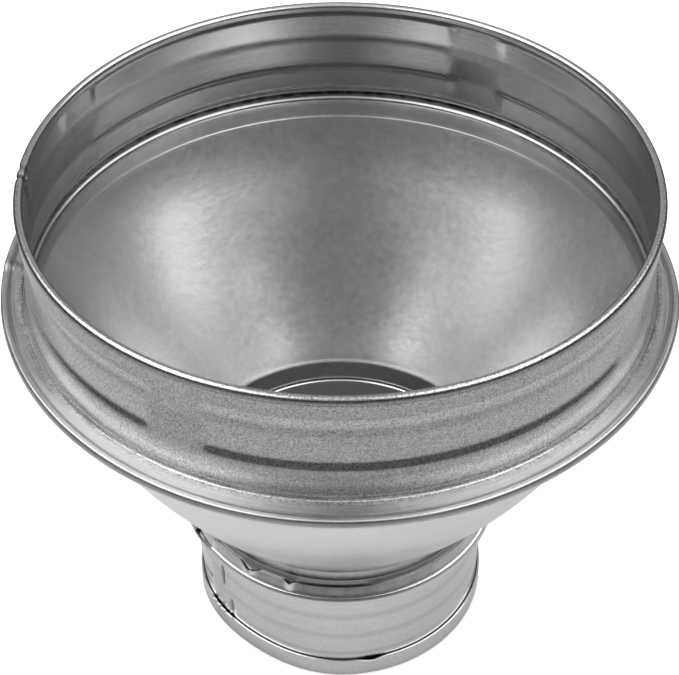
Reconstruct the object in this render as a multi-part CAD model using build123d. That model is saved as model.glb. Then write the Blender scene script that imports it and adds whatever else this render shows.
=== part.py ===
from build123d import *
import math
import os

# Duct reducer standing on its small end: three folded steel sheets hooked into one another.
# Lengths are millimetres, the axis of the duct is Z and the origin is the middle of its foot.

# Sheet
sheet = 0.6
layer_gap = 0.1

# Large spigot, with a rim folded outward
rim_radius = 99.5
rim_width = 2.4
rim_leg = 6.5
large_length = 38.8
flange_bend = 3.6

# Wall of the large spigot: it flares to a wider foot, and between the gaps of a row of pressed
# segments a step takes the place of the flare
flare_depth = 21.6
flare_to_flange = 3.4
flare_step = 1.2

# Ribs and steps pressed outward in the large spigot, in segments with plain wall between them
rib_count = 4
rib_gap_angle = 9.0
first_gap_angle = 61.5
rib_ramp = 2.5
upper_rib_depth = 4.6
upper_rib_clearance = 0.5
upper_rib_top_flank = 1.4
upper_rib_crest = 4.6
upper_rib_foot_flank = 2.4
gasket_seat = 9.6
lower_step_flank = 3.3

# Large seam: the flange of the cone is folded over the flange of the large spigot
lip_reach = 7.7
lip_return = 4.6
lip_play = 0.3
lip_bend = 1.0

# Cone with a slight belly, a short skirt above it and a rounded neck below it
skirt_step = 0.4
skirt_height = 8.2
cone_height = 79.7
belly_share = 0.57
belly_bulge = 5.2
belly_bend = 300.0
neck_corner = 47.8
neck_bend = 9.0

# Small seam: the top of the small spigot is folded over the foot of the neck and laid down
fold_lean = 22.0
fold_length = 11.2
fold_return = 6.5

# Small spigot, with a foot folded outward
small_length = 50.3
small_radius = 49.0
hem_height = 7.4
hem_gap = 0.2

# A tight fold of 180 degrees is made in four equal steps
step_share = math.tan(math.radians(22.5))


def folded_sheet(path):
    """Revolve one sheet whose middle line has corners (radius, height) or (radius, height, bend)."""
    corners = [(corner[0], corner[1]) for corner in path]
    bends = [corner[2] if len(corner) > 2 else 0 for corner in path[1:-1]]
    section = trace(FilletPolyline(*corners, radius=bends), sheet)
    return revolve(Plane.XZ * section, Axis.Z)


def tight_fold(middle, across, along):
    """Corners of a fold from one layer to the next: across points from the first to the second."""
    steps = ((-1, step_share), (-step_share, 1), (step_share, 1), (1, step_share))
    return [
        (middle[0] + a * across[0] + b * along[0], middle[1] + a * across[1] + b * along[1])
        for a, b in steps
    ]


def rib_segments(face_radius, top, height, top_flank, crest, foot_flank):
    """Pressed relief of one row of ribs, standing out from a wall face of this radius."""
    back = face_radius - sheet / 2
    front = face_radius + height
    shoulder = top - top_flank
    hip = shoulder - crest
    foot = hip - foot_flank
    outline = Polyline(
        (back, top),
        (face_radius, top),
        (front, shoulder),
        (front, hip),
        (face_radius, foot),
        (back, foot),
        close=True,
    )
    ring = revolve(Plane.XZ * make_face(outline), Axis.Z)

    # Plan of one segment: its ends run up from the wall to the crest over the ramp
    half_angle = math.pi / rib_count - math.radians(rib_gap_angle) / 2
    ramp_angle = math.atan(height / rib_ramp)
    end_x = face_radius * math.cos(half_angle)
    end_y = face_radius * math.sin(half_angle)
    reach = end_y / math.cos(half_angle + ramp_angle)
    apex = end_x + reach * math.sin(half_angle + ramp_angle)
    plan = Polyline(
        (end_x / 2, -end_y / 2),
        (end_x, -end_y),
        (apex, 0),
        (end_x, end_y),
        (end_x / 2, end_y / 2),
        close=True,
    )
    wedge = Pos(0, 0, foot) * extrude(make_face(plan), top - foot)
    pitch = 360 / rib_count
    return [
        ring & (Rot(0, 0, first_gap_angle + pitch * (index + 0.5)) * wedge)
        for index in range(rib_count)
    ]


# Heights of the joints above the foot
cone_top = small_length + cone_height
seat = cone_top + skirt_height
rim_top = seat + large_length

# Middle radii of the sheet walls
rim_middle = rim_radius - sheet / 2
large_middle = rim_radius - rim_width + sheet / 2
foot_middle = large_middle + flare_step
skirt_middle = large_middle + skirt_step
small_middle = small_radius - sheet / 2
hem_middle = small_middle + sheet + hem_gap
lip_radius = rim_radius + lip_reach

# Large spigot: rim leg, rim, wall, flare, foot and flange
rim_half = (rim_middle - large_middle) / 2
lip_half = sheet + lip_play / 2
flange_edge = lip_radius - sheet / 2 - lip_half
flare_top = rim_top - flare_depth
flare_foot = seat + sheet / 2 + flange_bend + flare_to_flange
large_collar = folded_sheet([
    (rim_middle, rim_top - rim_leg),
    *tight_fold((rim_middle - rim_half, rim_top - sheet / 2 - rim_half), (-rim_half, 0), (0, rim_half)),
    (large_middle, flare_top),
    (foot_middle, flare_foot),
    (foot_middle, seat + sheet / 2, flange_bend),
    (flange_edge, seat + sheet / 2),
])
upper_rib_height = rim_width - 2 * sheet - upper_rib_clearance
upper_rib_top = rim_top - upper_rib_depth
upper_rib_span = upper_rib_top_flank + upper_rib_crest + upper_rib_foot_flank
lower_step_top = upper_rib_top - upper_rib_span - gasket_seat
lower_step_crest = lower_step_top - lower_step_flank - flare_foot
upper_rib = (upper_rib_top, upper_rib_height, upper_rib_top_flank, upper_rib_crest, upper_rib_foot_flank)
lower_step = (lower_step_top, flare_step, lower_step_flank, lower_step_crest, lower_step_flank)
for rib in (upper_rib, lower_step):
    large_collar = large_collar + rib_segments(large_middle + sheet / 2, *rib)
    large_collar = large_collar - rib_segments(large_middle - sheet / 2, *rib)

# Cone: return of the lip, lip, flange, skirt, belly, rounded neck and the foot laid outward
lean = math.radians(fold_lean)
along = (math.sin(lean), -math.cos(lean))
across = (math.cos(lean), math.sin(lean))
belly_drop = belly_share * cone_height
belly_radius = skirt_middle - belly_share * (skirt_middle - neck_corner) + belly_bulge
lip_middle = seat - sheet / 2 + lip_half


def on_fold(distance, offset):
    """Point beside the laid-out foot of the neck, at a distance along it and an offset outward."""
    return (
        neck_corner + distance * along[0] + offset * across[0],
        small_length + distance * along[1] + offset * across[1],
    )


reducer_cone = folded_sheet([
    (flange_edge - lip_return, lip_middle + lip_half),
    *tight_fold((flange_edge, lip_middle), (0, -lip_half), (lip_half, 0)),
    (skirt_middle + lip_bend, seat - sheet / 2),
    (skirt_middle, seat - sheet / 2 - lip_bend),
    (skirt_middle, cone_top),
    (belly_radius, cone_top - belly_drop, belly_bend),
    (neck_corner, small_length, neck_bend),
    on_fold(fold_length, 0),
])

# Small spigot: return, nose and inner layer of the seam, hairpin, wall, foot and leg of the hem
layer = sheet + layer_gap
hem_half = (hem_middle - small_middle) / 2
hairpin_apex = (small_middle - neck_corner + layer * across[0]) / along[0]
hairpin_height = on_fold(hairpin_apex, -layer)[1]
hairpin_cut = layer / (2 * math.sin(lean / 2))
small_collar = folded_sheet([
    on_fold(fold_length - fold_return, layer),
    *tight_fold(
        on_fold(fold_length, 0),
        (-layer * across[0], -layer * across[1]),
        (layer * along[0], layer * along[1]),
    ),
    on_fold(hairpin_apex + hairpin_cut, -layer),
    (small_middle, hairpin_height - hairpin_cut),
    *tight_fold((small_middle + hem_half, sheet / 2 + hem_half), (hem_half, 0), (0, -hem_half)),
    (hem_middle, hem_height),
])

os.makedirs("parts", exist_ok=True)
export_step(large_collar, "parts/large_collar.step")
export_step(reducer_cone, "parts/reducer_cone.step")
export_step(small_collar, "parts/small_collar.step")
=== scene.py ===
import math

import bpy
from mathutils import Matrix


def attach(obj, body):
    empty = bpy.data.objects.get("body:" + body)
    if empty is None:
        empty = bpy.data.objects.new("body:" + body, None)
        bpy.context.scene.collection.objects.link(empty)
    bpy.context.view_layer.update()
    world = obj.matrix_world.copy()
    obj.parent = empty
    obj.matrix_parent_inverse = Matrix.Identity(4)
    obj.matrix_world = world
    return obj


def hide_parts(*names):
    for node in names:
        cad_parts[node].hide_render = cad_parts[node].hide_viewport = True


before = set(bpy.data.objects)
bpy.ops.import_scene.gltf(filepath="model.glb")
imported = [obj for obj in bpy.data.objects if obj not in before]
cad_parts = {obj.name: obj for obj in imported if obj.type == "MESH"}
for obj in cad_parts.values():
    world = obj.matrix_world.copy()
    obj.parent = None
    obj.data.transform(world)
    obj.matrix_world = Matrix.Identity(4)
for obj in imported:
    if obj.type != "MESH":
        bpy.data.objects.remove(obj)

bl_info = {
    "name": "Duct reducer",
    "version": (1, 0, 0),
    "blender": (4, 5, 0),
    "location": "3D View > Sidebar > Reducer",
    "description": "Builds the folded sheets of a duct reducer and the studio it stands in",
    "category": "Object",
}

MM = 0.001
FULL_TURN = 2 * math.pi
SHADE_ANGLE = math.radians(50)

# Azimuths in degrees, seen from above with 270 at the front: gaps between the rib segments,
# lengthwise joins of the collars, and the places that are out of round
RIB_GAPS = (61.5, 151.5, 241.5, 331.5)
RIB_GAP_HALF = 4.5
LARGE_JOIN = 177.8
SMALL_JOIN = 211.5
FRONT = 270.0
NARROW_LIP = 13.0
FULL_SIDE = 188.0
FLAT_FOOT = 230.0

# Azimuths of the marks in the small seam and in the hem
NOTCH_START = 203.0
NOTCH_END = 214.8
BENT_END = 215.2
FIRST_DENT = 234.0
SECOND_DENT = 251.0
GAPING_SEAM = 267.0
LENS = 282.5


class ReducerSheets(bpy.types.PropertyGroup):
    """Sizes of the three sheets, with the foot of the small spigot at height zero"""

    sheet: bpy.props.FloatProperty(
        name="Sheet", description="Thickness of the steel sheet", default=0.6 * MM, unit="LENGTH")
    rim_height: bpy.props.FloatProperty(
        name="Rim height", description="Top of the folded rim", default=177.0 * MM, unit="LENGTH")
    rim_radius: bpy.props.FloatProperty(
        name="Rim radius", description="Outside of the rim's bead", default=99.5 * MM, unit="LENGTH")
    lip_radius: bpy.props.FloatProperty(
        name="Lip radius", description="Outside of the large seam", default=107.2 * MM, unit="LENGTH")
    seat_depth: bpy.props.FloatProperty(
        name="Seat depth", description="Large seam below the rim", default=38.8 * MM, unit="LENGTH")
    neck_radius: bpy.props.FloatProperty(
        name="Neck radius", description="Radius at the foot of the neck", default=49.3 * MM,
        unit="LENGTH")
    neck_height: bpy.props.FloatProperty(
        name="Neck height", description="Height of the foot of the neck", default=48.6 * MM,
        unit="LENGTH")
    fold_lean: bpy.props.FloatProperty(
        name="Seam lean", description="Lean of the small seam", default=math.radians(24),
        subtype="ANGLE")
    fold_length: bpy.props.FloatProperty(
        name="Seam length", description="Length of the small seam", default=7.4 * MM, unit="LENGTH")
    turns: bpy.props.IntProperty(
        name="Turn steps", description="Steps round the axis", default=432, min=48)


class ReducerStage(bpy.types.PropertyGroup):
    """Camera and studio"""

    lens: bpy.props.FloatProperty(
        name="Lens", description="Focal length on a 36 mm sensor, in millimetres", default=109.1)
    back: bpy.props.FloatProperty(
        name="Distance", description="Camera distance from the axis", default=0.4994, unit="LENGTH")
    height: bpy.props.FloatProperty(
        name="Height", description="Camera height above the floor", default=0.5614, unit="LENGTH")
    pitch: bpy.props.FloatProperty(
        name="Pitch", description="Camera tilt below the horizon", default=math.radians(42.0),
        subtype="ANGLE")
    shift: bpy.props.FloatProperty(
        name="Shift", description="Sideways shift of the picture", default=-0.0012, precision=4)
    box_power: bpy.props.FloatProperty(
        name="Box power", description="Mean power of the side softboxes, in watts", default=15.6)


def rounded_path(corners, run_step):
    """Points along a path of corners (radius, height, bend), with every bend drawn as an arc."""
    points = [corners[0][:2]]
    for before, corner, after in zip(corners[:-2], corners[1:-1], corners[2:]):
        bend = corner[2]
        into = math.atan2(corner[1] - before[1], corner[0] - before[0])
        out = math.atan2(after[1] - corner[1], after[0] - corner[0])
        turn = (out - into + math.pi) % FULL_TURN - math.pi
        reach = bend * math.tan(abs(turn) / 2)
        side = math.copysign(math.pi / 2, turn)
        start = (corner[0] - reach * math.cos(into), corner[1] - reach * math.sin(into))
        middle = (start[0] + bend * math.cos(into + side), start[1] + bend * math.sin(into + side))
        by_angle = math.ceil(abs(turn) / math.radians(12))
        by_length = math.ceil(bend * abs(turn) / run_step)
        arc_steps = max(2, by_angle, by_length)
        points += run_to(points[-1], start, run_step)
        for index in range(1, arc_steps + 1):
            angle = into - side + turn * index / arc_steps
            points.append((middle[0] + bend * math.cos(angle), middle[1] + bend * math.sin(angle)))
    points += run_to(points[-1], corners[-1][:2], run_step)
    return points


def run_to(start, end, run_step):
    """Evenly spaced points of a straight run, without its first point."""
    length = math.dist(start, end)
    if length < 0.02 * MM:
        return []
    steps = max(1, math.ceil(length / run_step))
    return [
        (start[0] + (end[0] - start[0]) * index / steps, start[1] + (end[1] - start[1]) * index / steps)
        for index in range(1, steps + 1)
    ]


def spun_sheet(name, points, turns):
    """Middle surface of a sheet: a vertex is drawn out along the path, then spun round the axis."""
    bpy.ops.object.select_all(action="DESELECT")
    bpy.ops.mesh.primitive_plane_add(size=1.0, location=(0, 0, 0))
    piece = bpy.context.object
    piece.name = name
    bpy.ops.object.mode_set(mode="EDIT")
    bpy.ops.mesh.select_all(action="SELECT")
    bpy.ops.mesh.merge(type="CENTER")
    bpy.ops.transform.translate(value=(points[0][0], 0, points[0][1]))
    for last, point in zip(points[:-1], points[1:]):
        move = (point[0] - last[0], 0, point[1] - last[1])
        bpy.ops.mesh.extrude_vertices_move(TRANSFORM_OT_translate={"value": move})
    bpy.ops.mesh.select_all(action="SELECT")
    bpy.ops.mesh.spin(steps=turns, angle=FULL_TURN, center=(0, 0, 0), axis=(0, 0, 1))
    bpy.ops.mesh.select_all(action="SELECT")
    bpy.ops.mesh.remove_doubles(threshold=0.001 * MM)
    bpy.ops.mesh.normals_make_consistent(inside=False)
    bpy.ops.object.mode_set(mode="OBJECT")
    return piece


def place_of(point):
    """Azimuth in degrees, radius and height of a point in millimetres."""
    x, y, z = point
    return math.degrees(math.atan2(y, x)) % 360, math.hypot(x, y) / MM, z / MM


def share_of(value, low, high):
    """Straight rise from 0 at low to 1 at high; high may be the smaller one."""
    return min(1.0, max(0.0, (value - low) / (high - low)))


def ramp(value, low, high):
    """Smooth step from 0 at low to 1 at high; high may be the smaller one."""
    share = share_of(value, low, high)
    return share * share * (3 - 2 * share)


def angle_off(azimuth, centre):
    """Signed angle from centre to azimuth, within half a turn."""
    return (azimuth - centre + 180) % 360 - 180


def hump(azimuth, centre, half):
    """1 at the centre azimuth, falling smoothly to 0 at half degrees to each side."""
    return ramp(abs(angle_off(azimuth, centre)), half, 0)


def between(azimuth, start, end, edge):
    """1 between two azimuths, falling to 0 over edge degrees beyond each."""
    middle = (start + end) / 2
    half = (end - start) / 2
    return ramp(abs(angle_off(azimuth, middle)), half + edge, half)


def weigh(piece, name, weight):
    """Vertex group whose weights follow the place of each vertex."""
    group = piece.vertex_groups.new(name=name)
    for vertex in piece.data.vertices:
        share = weight(*place_of(vertex.co))
        if share > 0.001:
            group.add([vertex.index], min(1.0, share), "REPLACE")
    return group.name


def displace(piece, group, direction, distance):
    """Move the vertices of a group along their normals or along one axis."""
    modifier = piece.modifiers.new(group, "DISPLACE")
    modifier.direction = direction
    modifier.space = "LOCAL"
    modifier.vertex_group = group
    modifier.mid_level = 0.0
    modifier.strength = distance
    apply_modifier(piece, modifier)


def push(piece, name, weight, distance):
    """Move the sheet along its normals."""
    displace(piece, weigh(piece, name, weight), "NORMAL", distance)


def shift(piece, name, weight, azimuth=FRONT, outward=0.0, upward=0.0):
    """Move the sheet in one direction: outward at an azimuth, and upward."""
    group = weigh(piece, name, weight)
    turn = math.radians(azimuth)
    moves = (("X", outward * math.cos(turn)), ("Y", outward * math.sin(turn)), ("Z", upward))
    for direction, distance in moves:
        if abs(distance) > 0.001 * MM:
            displace(piece, group, direction, distance)


def cut_away(piece, region):
    """Remove the faces whose middles lie in a region."""
    bpy.ops.object.mode_set(mode="EDIT")
    bpy.ops.mesh.select_mode(type="FACE")
    bpy.ops.mesh.select_all(action="DESELECT")
    bpy.ops.object.mode_set(mode="OBJECT")
    for face in piece.data.polygons:
        face.select = region(*place_of(face.center))
    bpy.ops.object.mode_set(mode="EDIT")
    bpy.ops.mesh.delete(type="FACE")
    bpy.ops.object.mode_set(mode="OBJECT")


def apply_modifier(piece, modifier):
    """Apply one modifier of a piece."""
    bpy.ops.object.select_all(action="DESELECT")
    piece.select_set(True)
    bpy.context.view_layer.objects.active = piece
    bpy.ops.object.modifier_apply(modifier=modifier.name)


def thicken(piece, sheet):
    """Give the sheet its thickness on both sides of the middle surface and shade it."""
    modifier = piece.modifiers.new("Sheet", "SOLIDIFY")
    modifier.thickness = sheet
    modifier.offset = 0.0
    modifier.use_even_offset = True
    apply_modifier(piece, modifier)
    bpy.ops.object.mode_set(mode="EDIT")
    bpy.ops.mesh.select_all(action="SELECT")
    bpy.ops.mesh.normals_make_consistent(inside=False)
    bpy.ops.object.mode_set(mode="OBJECT")
    bpy.ops.object.shade_smooth_by_angle(angle=SHADE_ANGLE)


def faces_in(vertex):
    """1 on the side of the sheet that faces the axis."""
    return 1.0 if vertex.co.x * vertex.normal.x + vertex.co.y * vertex.normal.y < 0 else 0.0


def store_zones(piece, grime_and_shade, worn, rolled):
    """Store on each vertex how far it belongs to each zone, for the material to read."""
    shares = {"grime_and_shade": grime_and_shade, "worn": worn, "rolled": rolled, "inside": faces_in}
    for name, share in shares.items():
        zone = piece.data.attributes.new(name, "FLOAT", "POINT")
        values = [min(1.0, max(0.0, share(vertex))) for vertex in piece.data.vertices]
        zone.data.foreach_set("value", values)


def wall_sign(piece, radius, height):
    """1 where the sheet's normals point away from the axis, -1 where they point towards it."""
    best = min(
        piece.data.vertices,
        key=lambda vertex: abs(place_of(vertex.co)[1] - radius) + abs(place_of(vertex.co)[2] - height),
    )
    outward = best.co.x * best.normal.x + best.co.y * best.normal.y
    return 1 if outward > 0 else -1


def rib_share(azimuth, radius, ramp_length):
    """0 in the gaps between rib segments and 1 along the segments."""
    off = min(abs(angle_off(azimuth, gap)) for gap in RIB_GAPS)
    inside = math.radians(off - RIB_GAP_HALF) * radius
    return ramp(inside, 0, ramp_length)


def new_material(name):
    """Empty node material."""
    material = bpy.data.materials.new(name)
    material.use_nodes = True
    material.node_tree.nodes.clear()
    return material


def zinc_group():
    """Node group with the mottle, flecks, roll lines and grain of a zinc coat, and the painted shade and
    real grime that darken it.
    """
    group = bpy.data.node_groups.get("Zinc coat")
    if group:
        return group
    group = bpy.data.node_groups.new("Zinc coat", "ShaderNodeTree")
    face = group.interface
    defaults = {
        "Tone": 0.6, "Mottle": 0.1, "Flecks": 0.3, "Roughness": 0.3, "Grain": 0.1,
        "Inside": 0.0, "Rolled": 0.0, "Grime_and_shade": 0.0, "Worn": 0.0,
    }
    for socket, value in defaults.items():
        entry = face.new_socket(socket, in_out="INPUT", socket_type="NodeSocketFloat")
        entry.default_value = value
    face.new_socket("Color", in_out="OUTPUT", socket_type="NodeSocketColor")
    face.new_socket("Roughness", in_out="OUTPUT", socket_type="NodeSocketFloat")
    face.new_socket("Normal", in_out="OUTPUT", socket_type="NodeSocketVector")
    nodes = group.nodes
    links = group.links
    start = nodes.new("NodeGroupInput")
    end = nodes.new("NodeGroupOutput")
    place = nodes.new("ShaderNodeTexCoord").outputs["Object"]
    given = start.outputs

    def math_node(operation, *values):
        node = nodes.new("ShaderNodeMath")
        node.operation = operation
        for socket, value in zip(node.inputs, values):
            if isinstance(value, float):
                socket.default_value = value
            else:
                links.new(value, socket)
        return node.outputs["Value"]

    def noise(vector, scale, detail):
        """Noise about zero."""
        texture = nodes.new("ShaderNodeTexNoise")
        texture.inputs["Scale"].default_value = scale
        texture.inputs["Detail"].default_value = detail
        texture.inputs["Roughness"].default_value = 0.6
        links.new(vector, texture.inputs["Vector"])
        return math_node("SUBTRACT", texture.outputs["Fac"], 0.5)

    # Roll lines run round the axis: the noise hardly changes with the angle
    split = nodes.new("ShaderNodeSeparateXYZ")
    links.new(place, split.inputs["Vector"])
    x, y, z = split.outputs
    radius = math_node("SQRT", math_node("MULTIPLY_ADD", x, x, math_node("MULTIPLY", y, y)))
    angle = math_node("MULTIPLY", math_node("ARCTAN2", y, x), 0.002)
    round_place = nodes.new("ShaderNodeCombineXYZ")
    for value, socket in zip((radius, z, angle), round_place.inputs):
        links.new(value, socket)
    lines = math_node("MULTIPLY", noise(round_place.outputs["Vector"], 2400.0, 3.0), given["Rolled"])

    # Flecks and grain are weaker on the inside of the sheet
    outside = math_node("MULTIPLY_ADD", given["Inside"], -0.75, 1.0)
    fleck_level = math_node("MULTIPLY", given["Flecks"], outside)
    flecks = math_node("MULTIPLY", noise(place, 1700.0, 2.0), fleck_level)
    patches = noise(place, 420.0, 3.0)
    clouds = math_node("MULTIPLY_ADD", noise(place, 45.0, 3.0), 0.7, patches)
    tone = math_node("MULTIPLY_ADD", clouds, given["Mottle"], given["Tone"])
    tone = math_node("ADD", tone, flecks)
    tone = math_node("MULTIPLY_ADD", lines, 0.7, tone)
    specks = math_node("MULTIPLY_ADD", noise(place, 1300.0, 2.0), 2.4, -0.3)
    tone = math_node("MULTIPLY", tone, math_node("MULTIPLY_ADD", given["Worn"], specks, 1.0))
    # Painted shade: the Grime zone darkens the colour where shade falls, and also at the real weld marks
    # and scuffs
    tone = math_node("MULTIPLY", tone, math_node("MULTIPLY_ADD", given["Grime_and_shade"], -0.88, 1.0))
    tone = math_node("MINIMUM", math_node("MAXIMUM", tone, 0.02), 0.95)
    tint = nodes.new("ShaderNodeCombineColor")
    for channel in ("Red", "Green", "Blue"):
        links.new(tone, tint.inputs[channel])
    links.new(tint.outputs["Color"], end.inputs["Color"])

    rough = math_node("MULTIPLY_ADD", clouds, 0.06, given["Roughness"])
    rough = math_node("MULTIPLY_ADD", given["Rolled"], 0.1, rough)
    rough = math_node("MULTIPLY_ADD", lines, 0.5, rough)
    links.new(math_node("MAXIMUM", rough, 0.08), end.inputs["Roughness"])

    # Relief: fine grain, roll lines and the slight waves of the patches
    grain_level = math_node("MULTIPLY", given["Grain"], outside)
    grain = math_node("MULTIPLY", noise(place, 1700.0, 2.0), grain_level)
    waves = math_node("MULTIPLY_ADD", given["Inside"], 0.3, 0.02)
    relief = math_node("MULTIPLY_ADD", patches, waves, grain)
    relief = math_node("MULTIPLY_ADD", lines, 0.08, relief)
    bump = nodes.new("ShaderNodeBump")
    bump.inputs["Distance"].default_value = 0.1 * MM
    links.new(relief, bump.inputs["Height"])
    links.new(bump.outputs["Normal"], end.inputs["Normal"])
    return group


def zinc_material(name, tone, mottle, flecks, roughness, grain):
    """Zinc-coated steel, which reads its zones from the mesh."""
    material = new_material(name)
    nodes = material.node_tree.nodes
    links = material.node_tree.links
    coat = nodes.new("ShaderNodeGroup")
    coat.node_tree = zinc_group()
    coat.inputs["Tone"].default_value = tone
    coat.inputs["Mottle"].default_value = mottle
    coat.inputs["Flecks"].default_value = flecks
    coat.inputs["Roughness"].default_value = roughness
    coat.inputs["Grain"].default_value = grain
    for zone in ("Inside", "Rolled", "Grime_and_shade", "Worn"):
        stored = nodes.new("ShaderNodeAttribute")
        stored.attribute_name = zone.lower()
        links.new(stored.outputs["Fac"], coat.inputs[zone])
    metal = nodes.new("ShaderNodeBsdfPrincipled")
    metal.inputs["Metallic"].default_value = 1.0
    links.new(coat.outputs["Color"], metal.inputs["Base Color"])
    links.new(coat.outputs["Roughness"], metal.inputs["Roughness"])
    links.new(coat.outputs["Normal"], metal.inputs["Normal"])
    output = nodes.new("ShaderNodeOutputMaterial")
    links.new(metal.outputs["BSDF"], output.inputs["Surface"])
    return material


def dress(piece, node, material):
    """Hand a finished piece its material and its place in the frame."""
    piece.vertex_groups.clear()
    piece.data.materials.clear()
    piece.data.materials.append(material)
    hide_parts(node)
    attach(piece, "root")


def shape_lip(piece):
    """Bring the lip out of round: fuller at the front and narrower at the back on the right."""

    def front(azimuth, radius, height):
        return front_share(azimuth) * ramp(radius, 101, 104)

    def narrow(azimuth, radius, height):
        return hump(azimuth, NARROW_LIP, 24) * ramp(radius, 100.5, 105)

    shift(piece, "Front of the lip", front, FRONT, outward=2.0 * MM)
    shift(piece, "Narrow lip", narrow, NARROW_LIP, outward=-2.0 * MM)


def front_share(azimuth):
    """1 at the front, falling to 0 at the sides."""
    return max(0.0, math.cos(math.radians(angle_off(azimuth, FRONT)))) ** 2


class REDUCER_OT_large_collar(bpy.types.Operator):
    """Build the large collar with its beaded rim, ribs, step and flange"""

    bl_idname = "reducer.large_collar"
    bl_label = "Large collar"

    def execute(self, context):
        sizes = context.scene.reducer_sheets
        top = sizes.rim_height
        fold_half = 0.9 * MM
        groove = 0.45 * MM
        bead = sizes.rim_radius - sizes.sheet / 2
        leg = bead - groove
        wall = bead - 2 * fold_half
        roll = 0.5 * MM
        nose = fold_half + roll / 2
        flare = 1.4 * MM
        foot = wall + flare
        flange = top - sizes.seat_depth + sizes.sheet / 2
        flange_edge = sizes.lip_radius - 1.05 * MM
        groove_bend = 0.3 * MM
        roll_bend = 0.5 * MM

        # Depths below the rim in millimetres
        bead_foot = 2.0
        groove_top = 2.5
        roll_foot = 2.6
        wall_top = 3.3
        leg_depth = 8.0
        rib_foot = 12.6
        flare_top = 16.0
        step_top = 24.6
        step_foot = 26.9
        flare_foot = 34.5
        points = rounded_path([
            (leg, top - leg_depth * MM, 0),
            (leg, top - groove_top * MM, groove_bend),
            (bead, top - bead_foot * MM, groove_bend),
            (bead, top - sizes.sheet / 2, nose),
            (wall - roll, top - sizes.sheet / 2, nose),
            (wall - roll, top - roll_foot * MM, roll_bend),
            (wall, top - wall_top * MM, roll_bend),
            (wall, top - flare_top * MM, 8 * MM),
            (foot, top - flare_foot * MM, 4 * MM),
            (foot, flange, 3.6 * MM),
            (flange_edge, flange, 0),
        ], run_step=0.7 * MM)
        piece = spun_sheet("large_collar_sheet", points, sizes.turns)
        rim_mm = top / MM
        inner_mm = wall / MM
        rib_ramp = 2.5
        sign = wall_sign(piece, inner_mm, rim_mm - 17)

        def upper(azimuth, radius, height):
            depth = rim_mm - height
            if radius > inner_mm + 0.5:
                return 0
            ribs = rib_share(azimuth, radius, rib_ramp)
            return ribs * ramp(depth, 3.4, 4.6) * share_of(depth, rib_foot, 5.0)

        def swell(azimuth, radius, height):
            depth = rim_mm - height
            crest = 15.4
            ribs = rib_share(azimuth, radius, rib_ramp)
            return ribs * ramp(depth, 12.0, crest) * share_of(depth, 22.5, crest)

        def step_over_flare(azimuth, radius, height):
            depth = rim_mm - height
            if depth < 15:
                return 0
            flank = share_of(depth, step_top, step_foot)
            stepped = 0.79 * flank + 0.21 * share_of(depth, 27.0, flare_foot)
            lead = stepped - share_of(depth, flare_top, flare_foot)
            return rib_share(azimuth, radius, 3.0) * lead

        def above_step(azimuth, radius, height):
            return -step_over_flare(azimuth, radius, height)

        def cuts(azimuth, radius, height):
            if rim_mm - height > 3.4:
                return 0
            return max(hump(azimuth, LARGE_JOIN - 1.5, 1.0), hump(azimuth, LARGE_JOIN + 1.4, 1.0))

        def weld(azimuth, radius, height):
            depth = rim_mm - height
            if radius > inner_mm + 0.7 or not 3 < depth < 22:
                return 0
            ripple = 0.5 + 0.5 * math.sin(depth * 2.4 + azimuth * 1.7)
            strip = between(azimuth, LARGE_JOIN - 1.0, LARGE_JOIN + 1.2, 0.8)
            return strip * ripple * ramp(depth, 22, 19)

        def front_rim(azimuth, radius, height):
            return front_share(azimuth) * ramp(rim_mm - height, 34, 0)

        push(piece, "Upper ribs", upper, sign * 0.65 * MM)
        push(piece, "Swell below the ribs", swell, sign * 0.16 * MM)
        push(piece, "Wall above the step", above_step, -sign * flare)
        push(piece, "Lower step", step_over_flare, sign * flare)
        push(piece, "Cuts at the join", cuts, sign * 0.45 * MM)
        push(piece, "Weld at the join", weld, -sign * 0.35 * MM)
        shift(piece, "Front of the rim", front_rim, FRONT, outward=-1.6 * MM)
        shape_lip(piece)
        thicken(piece, sizes.sheet)

        def between_depths(depth, upper_end, lower_end):
            """1 between two depths, falling to 0 just outside them."""
            return ramp(depth, upper_end - 0.6, upper_end) * ramp(depth, lower_end + 0.6, lower_end)

        # Painted shade, with a real weld mark: the colour is darker in the cuts at the join, in the groove
        # under the bead, and on the bead itself, which dims its highlight. The weld scar is a real mark.
        def grime_and_shade(vertex):
            azimuth, radius, height = place_of(vertex.co)
            depth = rim_mm - height
            cut = 0.9 * cuts(azimuth, radius, height)
            scar = between(azimuth, LARGE_JOIN - 0.9, LARGE_JOIN + 0.9, 0.7) * ramp(depth, 23, 19)
            scar *= 0.5 + 0.5 * math.sin(depth * 2.4 + azimuth * 3.1)
            # Painted shade on the inside: darker all over, more on the gasket seat and at the fillet, less
            # on the lower panel
            if faces_in(vertex):
                inside_shade = 0.32
                seat = 0.2 * between_depths(depth, 12.5, 24.5)
                panel = 0.28 * ramp(depth, 25.0, 27.0)
                fillet = 0.1 * ramp(depth, 33.5, 35.5)
                return max(cut, scar if depth > 4 else 0, inside_shade + seat - panel + fillet)
            in_groove = 0.7 * ramp(abs(depth - 2.7), 0.6, 0.2)
            on_bead = 0.45 * ramp(depth, 2.4, 1.8)
            return max(cut, in_groove, on_bead)

        def rolled(vertex):
            depth = rim_mm - place_of(vertex.co)[2]
            return 0.2 + 0.8 * ramp(depth, 33, 36)

        def worn(vertex):
            azimuth, radius, height = place_of(vertex.co)
            if radius < inner_mm + 0.7:
                return 0
            return 0.5 * ramp(abs(rim_mm - height - leg_depth), 0.5, 0.1)

        store_zones(piece, grime_and_shade, worn, rolled)
        coat = zinc_material(
            "Zinc, large collar", tone=0.58, mottle=0.05, flecks=1.2, roughness=0.22, grain=0.3)
        dress(piece, "large_collar", coat)
        return {"FINISHED"}


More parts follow.
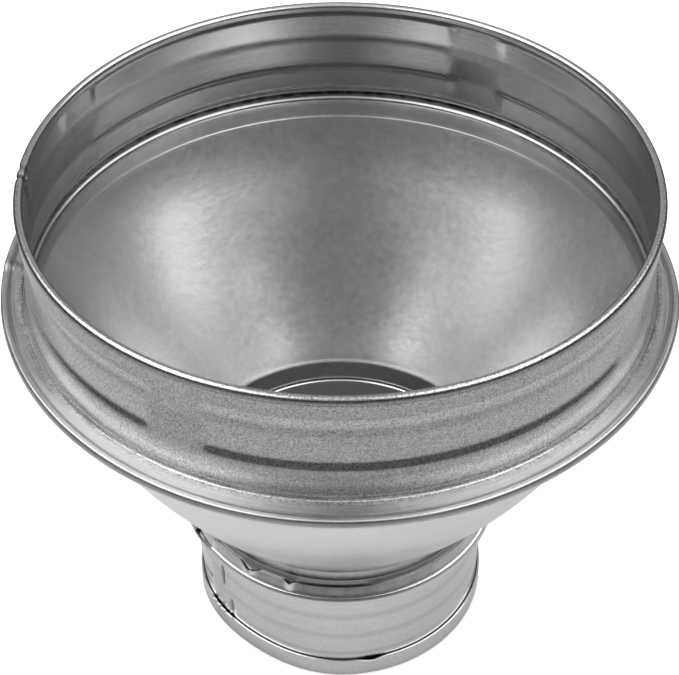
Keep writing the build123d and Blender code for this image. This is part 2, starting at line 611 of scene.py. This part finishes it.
class REDUCER_OT_cone(bpy.types.Operator):
    """Build the cone with its folded lip, skirt and neck"""

    bl_idname = "reducer.cone"
    bl_label = "Cone"

    def execute(self, context):
        sizes = context.scene.reducer_sheets
        fold = 0.75 * MM
        return_length = 5.8 * MM
        skirt_inset = 1.7 * MM
        skirt_height = 8.2 * MM
        belly_share = 0.57
        belly_bulge = 5.2 * MM
        belly_bend = 230 * MM
        neck_rise = 6.4 * MM
        neck_widening = 1.5 * MM
        lip = sizes.lip_radius - sizes.sheet / 2
        flange = sizes.rim_height - sizes.seat_depth - sizes.sheet / 2
        skirt = sizes.rim_radius - skirt_inset
        cone_top = sizes.rim_height - sizes.seat_depth - skirt_height
        cone_height = cone_top - sizes.neck_height
        edge = lip - fold - return_length
        bead_top = flange + 2.6 * MM
        belly = skirt - belly_share * (skirt - sizes.neck_radius) + belly_bulge
        points = rounded_path([
            (edge, flange + 2 * fold, 0),
            (edge + 3.8 * MM, flange + 2 * fold, 1.2 * MM),
            (edge + 4.8 * MM, bead_top, 0.8 * MM),
            (lip - 0.3 * MM, bead_top, 0.6 * MM),
            (lip + 0.1 * MM, flange, 0.7 * MM),
            (skirt, flange, 1.4 * MM),
            (skirt, cone_top, 1.3 * MM),
            (belly, cone_top - belly_share * cone_height, belly_bend),
            (sizes.neck_radius + neck_widening, sizes.neck_height + neck_rise, 3.5 * MM),
            (sizes.neck_radius, sizes.neck_height, 1.0 * MM),
            (sizes.neck_radius + sizes.fold_length * math.sin(sizes.fold_lean),
             sizes.neck_height - sizes.fold_length * math.cos(sizes.fold_lean), 0),
        ], run_step=2.0 * MM)
        piece = spun_sheet("cone_sheet", points, sizes.turns)
        flange_mm = flange / MM
        edge_mm = edge / MM
        neck_mm = sizes.neck_height / MM

        def rough_edge(azimuth, radius, height):
            if height < flange_mm + 1.0 or radius > edge_mm + 1.3:
                return 0
            wave = math.sin(azimuth * 2.9) + math.sin(azimuth * 5.3 + 1) + math.sin(azimuth * 0.41)
            return (0.5 + wave / 6) * ramp(radius, edge_mm + 1.3, edge_mm)

        def gaping(azimuth, radius, height):
            stretch = between(azimuth, GAPING_SEAM - 11, GAPING_SEAM + 11, 5)
            return stretch * ramp(height, neck_mm - 0.5, neck_mm - 3)

        def blob(azimuth, radius, height):
            if height < flange_mm + 1.0:
                return 0
            return hump(azimuth, LARGE_JOIN + 0.4, 2.2) * ramp(abs(radius - 105), 3.5, 0.5)

        shift(piece, "Rough edge of the return", rough_edge, upward=0.15 * MM)
        shift(piece, "Weld on the lip", blob, upward=0.9 * MM)
        shift(piece, "Gaping seam", gaping, GAPING_SEAM, outward=-0.45 * MM)
        shape_lip(piece)
        thicken(piece, sizes.sheet)

        # Painted shade, with a real weld mark: a dark line under the lip's outer edge, a dark crevice just
        # above the small seam, a dark inner corner at the top of the skirt, and the inside darker towards
        # the neck but not on the neck itself. The top of the lip is darker all over, and the weld on the
        # lip is a real mark.
        def grime_and_shade(vertex):
            azimuth, radius, height = place_of(vertex.co)
            under = ramp(radius, edge_mm + 4.7, edge_mm + 5.7) * ramp(height, flange_mm + 0.3, flange_mm)
            weld = 0.8 * ramp(abs(angle_off(azimuth, LARGE_JOIN + 0.4)), 2.2, 1.2)
            weld *= 0.5 + 0.5 * math.sin(azimuth * 5.0 + radius * 2.0)
            if height > flange_mm + 1.0:
                return max(0.5, weld)
            if faces_in(vertex):
                corner = 0.65 * ramp(height, flange_mm - 2.2, flange_mm - 0.8)
                neck_without_shade = ramp(height, neck_mm + 8, neck_mm + 5)
                deeper_shade = ramp(height, 105, 60) * (1 - 0.9 * neck_without_shade)
                return max(corner, 0.45 * deeper_shade)
            crevice = ramp(height, neck_mm + 2.6, neck_mm + 1.2) * ramp(height, neck_mm - 4, neck_mm - 2)
            return max(0.85 * under, 0.65 * crevice)

        def rolled(vertex):
            azimuth, radius, height = place_of(vertex.co)
            return ramp(height, flange_mm - 2, flange_mm) * ramp(radius, 98.5, 100)

        def worn(vertex):
            azimuth, radius, height = place_of(vertex.co)
            if height > flange_mm + 1.0:
                return ramp(radius, edge_mm + 2.2, edge_mm + 0.6)
            return 0

        store_zones(piece, grime_and_shade, worn, rolled)
        coat = zinc_material(
            "Zinc, cone", tone=0.67, mottle=0.16, flecks=0.3, roughness=0.25, grain=0.08)
        dress(piece, "reducer_cone", coat)
        return {"FINISHED"}


class REDUCER_OT_small_collar(bpy.types.Operator):
    """Build the small collar with its folded seam, lengthwise join and foot"""

    bl_idname = "reducer.small_collar"
    bl_label = "Small collar"

    def execute(self, context):
        sizes = context.scene.reducer_sheets
        lean = sizes.fold_lean
        layer_gap = 0.1 * MM
        bead_lift = 0.45 * MM
        return_length = 5.1 * MM
        wall = 48.7 * MM
        hem_half = 0.48 * MM
        layer = sizes.sheet + layer_gap
        foot = sizes.sheet / 2
        bead = layer + bead_lift
        edge = sizes.fold_length - return_length
        nose = sizes.fold_length
        hem_mm = 7.4

        def beside(distance, offset):
            """Point at a distance along the laid-out seam and an offset outward from it."""
            return (
                sizes.neck_radius + distance * math.sin(lean) + offset * math.cos(lean),
                sizes.neck_height - distance * math.cos(lean) + offset * math.sin(lean),
            )

        def along_fold(radius, height):
            """Distance along the laid-out seam and offset from it, in millimetres."""
            right = radius - sizes.neck_radius / MM
            down = sizes.neck_height / MM - height
            return (right * math.sin(lean) + down * math.cos(lean),
                    right * math.cos(lean) - down * math.sin(lean))

        hairpin = (wall - sizes.neck_radius + layer * math.cos(lean)) / math.sin(lean)
        points = rounded_path([
            (*beside(edge, layer), 0),
            (*beside(nose - 1.6 * MM, layer), 0.3 * MM),
            (*beside(nose - 1.1 * MM, bead), 0.3 * MM),
            (*beside(nose + layer, bead), 0.85 * MM),
            (*beside(nose + layer, -layer), 0.85 * MM),
            (*beside(hairpin, -layer), 0.4 * MM),
            (wall, foot, hem_half),
            (wall + 2 * hem_half, foot, hem_half),
            (wall + 2 * hem_half, hem_mm * MM, 0),
        ], run_step=1.4 * MM)
        piece = spun_sheet("small_collar_sheet", points, sizes.turns)
        edge_mm = edge / MM
        nose_mm = nose / MM
        layer_mm = layer / MM
        wall_mm = wall / MM
        return_sign = wall_sign(piece, *(value / MM for value in beside((edge + nose) / 2, layer)))
        wall_way = wall_sign(piece, wall_mm, 25)

        def on_return(radius, height):
            """Distance along the seam's outer layer, or None away from it."""
            distance, offset = along_fold(radius, height)
            return distance if offset > 0.5 * layer_mm and height > 36 else None

        def edge_share(radius, height, reach):
            distance = on_return(radius, height)
            if distance is None:
                return 0
            return ramp(distance, edge_mm + reach, edge_mm)

        def first_dent(azimuth, radius, height):
            return hump(azimuth, FIRST_DENT, 5.0) * edge_share(radius, height, 3.0)

        def second_dent(azimuth, radius, height):
            return hump(azimuth, SECOND_DENT, 2.6) * edge_share(radius, height, 3.5)

        def wavy_edge(azimuth, radius, height):
            wave = math.sin(azimuth * 0.31) + math.sin(azimuth * 0.77 + 2) + math.sin(azimuth * 1.7 + 1)
            return (0.5 + wave / 6) * edge_share(radius, height, 3.0)

        def lens(azimuth, radius, height):
            if radius < wall_mm + 0.5 or height > 8:
                return 0
            return hump(azimuth, LENS, 7.0) * ramp(height, 1.5, hem_mm)

        def lap(azimuth, radius, height):
            if radius > wall_mm + 0.4 or height > 36:
                return 0
            return between(azimuth, SMALL_JOIN - 4.0, SMALL_JOIN + 6.2, 0.4) * ramp(height, 8, 10)

        def notch(azimuth, radius, height):
            distance = on_return(radius, height)
            if distance is None:
                return False
            return NOTCH_START < azimuth < NOTCH_END and distance < nose_mm

        def bent_end(azimuth, radius, height):
            return hump(azimuth, BENT_END, 2.6) * edge_share(radius, height, 5.0)

        def crack_share(azimuth, height):
            upright = hump(azimuth, 215.0, 1.3) * ramp(abs(height - 27.5), 5.5, 4.5)
            beside_it = 0.6 * hump(azimuth, 207.4, 1.0) * ramp(abs(height - 24.5), 4.5, 3)
            slant_height = height - 13.6 - (azimuth - 190) * 0.235
            slant = between(azimuth, 190, 203, 2) * ramp(abs(slant_height), 1.1, 0.3)
            tail = 0.7 * hump(azimuth, 218.5, 1.2) * ramp(abs(height - 12.5), 4.5, 3)
            return max(upright, beside_it, slant, tail)

        def cracks(azimuth, radius, height):
            return crack_share(azimuth, height) if radius < wall_mm + 0.6 else 0

        def roll_lines(azimuth, radius, height):
            if radius > wall_mm + 0.5:
                return 0
            return max(ramp(abs(height - line), 1.6, 0) for line in (10.5, 19.5, 29.0))

        def flat_foot(azimuth, radius, height):
            return hump(azimuth, FLAT_FOOT, 44) * ramp(height, 42, 0)

        def full_side(azimuth, radius, height):
            return hump(azimuth, FULL_SIDE, 30) * ramp(height, 10, 28) * ramp(height, 46, 40)

        def rough_hem(azimuth, radius, height):
            if radius < wall_mm + 0.5 or height > 8:
                return 0
            wave = 0.5 + 0.25 * math.sin(azimuth * 1.9) + 0.25 * math.sin(azimuth * 3.3)
            return between(azimuth, SMALL_JOIN - 5.5, SMALL_JOIN + 6.5, 2) * wave * ramp(height, 2, hem_mm)

        cut_away(piece, notch)
        shift(piece, "Bent end of the wrap", bent_end, BENT_END, outward=1.0 * MM, upward=0.4 * MM)
        push(piece, "Cracks by the join", cracks, -wall_way * 0.6 * MM)
        push(piece, "Roll lines", roll_lines, -wall_way * 0.18 * MM)
        shift(piece, "First dent", first_dent, FIRST_DENT, outward=1.1 * MM, upward=-1.6 * MM)
        shift(piece, "Second dent", second_dent, SECOND_DENT, outward=0.8 * MM, upward=-0.7 * MM)
        push(piece, "Wavy edge", wavy_edge, return_sign * 0.12 * MM)
        shift(piece, "Lens at the foot", lens, LENS, outward=0.7 * MM, upward=-0.3 * MM)
        push(piece, "Lap of the join", lap, wall_way * 0.45 * MM)
        shift(piece, "Rough hem", rough_hem, SMALL_JOIN, outward=0.7 * MM, upward=0.5 * MM)
        thicken(piece, sizes.sheet)

        # Painted shade, with real scuffs: the inside a little darker, dark cracks by the join, a dark line
        # above the hem, and darker lines along the roll lines. The scuffs by the join are real marks.
        def grime_and_shade(vertex):
            azimuth, radius, height = place_of(vertex.co)
            if faces_in(vertex):
                return 0.15
            if radius > wall_mm + 1.6:
                return 0
            scuff = hump(azimuth, SMALL_JOIN, 8) * (0.5 + 0.5 * math.sin(azimuth * 2.1 + height * 0.9))
            behind_hem = ramp(height, 8.0, 7.0) if radius < wall_mm + 0.6 else 0
            marks = 0.25 * roll_lines(azimuth, radius - 0.4, height)
            return max(crack_share(azimuth, height), 0.7 * behind_hem, 0.4 * scuff, marks)

        def rolled(vertex):
            return 0.2

        def worn(vertex):
            azimuth, radius, height = place_of(vertex.co)
            return 0.2 * edge_share(radius, height, 0.8)

        store_zones(piece, grime_and_shade, worn, rolled)
        shift(piece, "Full side", full_side, FULL_SIDE, outward=1.2 * MM)
        shift(piece, "Flattened foot", flat_foot, FLAT_FOOT, outward=-1.8 * MM)
        coat = zinc_material(
            "Zinc, small collar", tone=0.6, mottle=0.06, flecks=0.3, roughness=0.2, grain=0.08)
        dress(piece, "small_collar", coat)
        return {"FINISHED"}


def map_range(tree, value, span, levels, interpolation="SMOOTHSTEP"):
    """Node that turns a span of values into a span of levels, and its output."""
    node = tree.nodes.new("ShaderNodeMapRange")
    node.interpolation_type = interpolation
    node.inputs["From Min"].default_value, node.inputs["From Max"].default_value = span
    node.inputs["To Min"].default_value, node.inputs["To Max"].default_value = levels
    tree.links.new(value, node.inputs["Value"])
    return node.outputs["Result"]


class REDUCER_OT_stage(bpy.types.Operator):
    """Build the floor, the lamps and the camera"""

    bl_idname = "reducer.stage"
    bl_label = "Stage"

    def execute(self, context):
        stage = context.scene.reducer_stage
        bpy.ops.object.select_all(action="DESELECT")
        bpy.ops.mesh.primitive_circle_add(vertices=128, radius=0.8, fill_type="NGON", location=(0, 0, 0))
        floor = context.object
        floor.name = "floor"
        floor.data.materials.append(self.pale_floor())

        box_size = (1.6, 1.0)
        for name, side, share in (("Left box", -1, 1.15), ("Right box", 1, 0.92)):
            self.softbox(name, (side * 0.75, -0.1, 1.15), box_size, share * stage.box_power)
        self.studio_world(context.scene)

        bpy.ops.object.camera_add(
            location=(0, -stage.back, stage.height), rotation=(math.pi / 2 - stage.pitch, 0, 0))
        camera = context.object
        camera.data.lens = stage.lens
        camera.data.sensor_width = 36
        camera.data.shift_x = stage.shift
        camera.data.dof.use_dof = False
        context.scene.camera = camera
        context.scene.view_settings.view_transform = "Standard"
        return {"FINISHED"}

    def pale_floor(self):
        """Matte floor, white to the camera; in reflections grey, with a painted pool of light palest
        around the foot.
        """
        pale = new_material("Pale floor")
        nodes = pale.node_tree.nodes
        links = pale.node_tree.links
        path = nodes.new("ShaderNodeLightPath")
        place = nodes.new("ShaderNodeTexCoord")
        reach = nodes.new("ShaderNodeVectorMath")
        reach.operation = "LENGTH"
        links.new(place.outputs["Object"], reach.inputs[0])
        fade = map_range(pale.node_tree, reach.outputs["Value"], (0.05, 0.36), (0.74, 0.25))
        grey = nodes.new("ShaderNodeBsdfDiffuse")

        # Painted shadow: in reflections the floor inside the small spigot is darker
        under = map_range(pale.node_tree, reach.outputs["Value"], (0.044, 0.052), (0.25, 1.0), "LINEAR")
        shade = nodes.new("ShaderNodeMath")
        shade.operation = "MULTIPLY"
        links.new(fade, shade.inputs[0])
        links.new(under, shade.inputs[1])
        links.new(shade.outputs["Value"], grey.inputs["Color"])
        white = nodes.new("ShaderNodeBsdfDiffuse")
        white.inputs["Color"].default_value = (0.95, 0.95, 0.95, 1)
        glow = nodes.new("ShaderNodeEmission")
        glow.inputs["Strength"].default_value = 0.25
        bright = nodes.new("ShaderNodeAddShader")
        links.new(white.outputs["BSDF"], bright.inputs[0])
        links.new(glow.outputs["Emission"], bright.inputs[1])
        mix = nodes.new("ShaderNodeMixShader")
        links.new(path.outputs["Is Camera Ray"], mix.inputs["Fac"])
        links.new(grey.outputs["BSDF"], mix.inputs[1])
        links.new(bright.outputs["Shader"], mix.inputs[2])
        output = nodes.new("ShaderNodeOutputMaterial")
        links.new(mix.outputs["Shader"], output.inputs["Surface"])
        return pale

    def studio_world(self, scene):
        """Room with a pale ceiling, a pale wall behind and a dim rest; white to the camera itself."""
        world = bpy.data.worlds.new("Studio")
        scene.world = world
        world.use_nodes = True
        nodes = world.node_tree.nodes
        links = world.node_tree.links
        nodes.clear()
        path = nodes.new("ShaderNodeLightPath")
        room = nodes.new("ShaderNodeBackground")
        place = nodes.new("ShaderNodeTexCoord")
        split = nodes.new("ShaderNodeSeparateXYZ")
        links.new(place.outputs["Generated"], split.inputs["Vector"])
        behind = nodes.new("ShaderNodeMath")
        behind.operation = "MAXIMUM"
        behind.inputs[1].default_value = 0.0
        links.new(split.outputs["Y"], behind.inputs[0])
        lift = nodes.new("ShaderNodeMath")
        lift.operation = "MULTIPLY_ADD"
        lift.inputs[1].default_value = 0.45
        links.new(behind.outputs["Value"], lift.inputs[0])
        links.new(split.outputs["Z"], lift.inputs[2])
        ceiling = map_range(world.node_tree, lift.outputs["Value"], (0.48, 0.70), (0.1, 0.6))
        zenith = map_range(world.node_tree, split.outputs["Z"], (0.84, 0.97), (0.0, 0.5))
        level = nodes.new("ShaderNodeMath")
        links.new(ceiling, level.inputs[0])
        links.new(zenith, level.inputs[1])
        links.new(level.outputs["Value"], room.inputs["Color"])
        white = nodes.new("ShaderNodeBackground")
        white.inputs["Color"].default_value = (1, 1, 1, 1)
        mix = nodes.new("ShaderNodeMixShader")
        links.new(path.outputs["Is Camera Ray"], mix.inputs["Fac"])
        links.new(room.outputs["Background"], mix.inputs[1])
        links.new(white.outputs["Background"], mix.inputs[2])
        output = nodes.new("ShaderNodeOutputWorld")
        links.new(mix.outputs["Shader"], output.inputs["Surface"])

    def softbox(self, name, place, size, power):
        """One rectangular lamp that faces the object."""
        bpy.ops.object.light_add(type="AREA", location=place)
        lamp = bpy.context.object
        lamp.name = name
        lamp.data.shape = "RECTANGLE"
        lamp.data.size = size[0]
        lamp.data.size_y = size[1]
        lamp.data.energy = power
        lamp.rotation_euler = lamp.location.to_track_quat("Z", "Y").to_euler()


class REDUCER_PT_panel(bpy.types.Panel):
    """Sizes and build steps of the reducer"""

    bl_label = "Duct reducer"
    bl_idname = "REDUCER_PT_panel"
    bl_space_type = "VIEW_3D"
    bl_region_type = "UI"
    bl_category = "Reducer"

    def draw(self, context):
        layout = self.layout
        for group in (context.scene.reducer_sheets, context.scene.reducer_stage):
            for name in group.__annotations__:
                layout.prop(group, name)
        for operator in OPERATORS:
            layout.operator(operator.bl_idname)


GROUPS = (ReducerSheets, ReducerStage)
OPERATORS = (REDUCER_OT_large_collar, REDUCER_OT_cone, REDUCER_OT_small_collar, REDUCER_OT_stage)


def register():
    for entry in (*GROUPS, *OPERATORS, REDUCER_PT_panel):
        bpy.utils.register_class(entry)
    bpy.types.Scene.reducer_sheets = bpy.props.PointerProperty(type=ReducerSheets)
    bpy.types.Scene.reducer_stage = bpy.props.PointerProperty(type=ReducerStage)


def unregister():
    del bpy.types.Scene.reducer_stage
    del bpy.types.Scene.reducer_sheets
    for entry in reversed((*GROUPS, *OPERATORS, REDUCER_PT_panel)):
        bpy.utils.unregister_class(entry)


def main():
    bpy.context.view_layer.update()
    register()
    bpy.ops.reducer.large_collar()
    bpy.ops.reducer.cone()
    bpy.ops.reducer.small_collar()
    bpy.ops.reducer.stage()


if __name__ == "__main__":
    main()
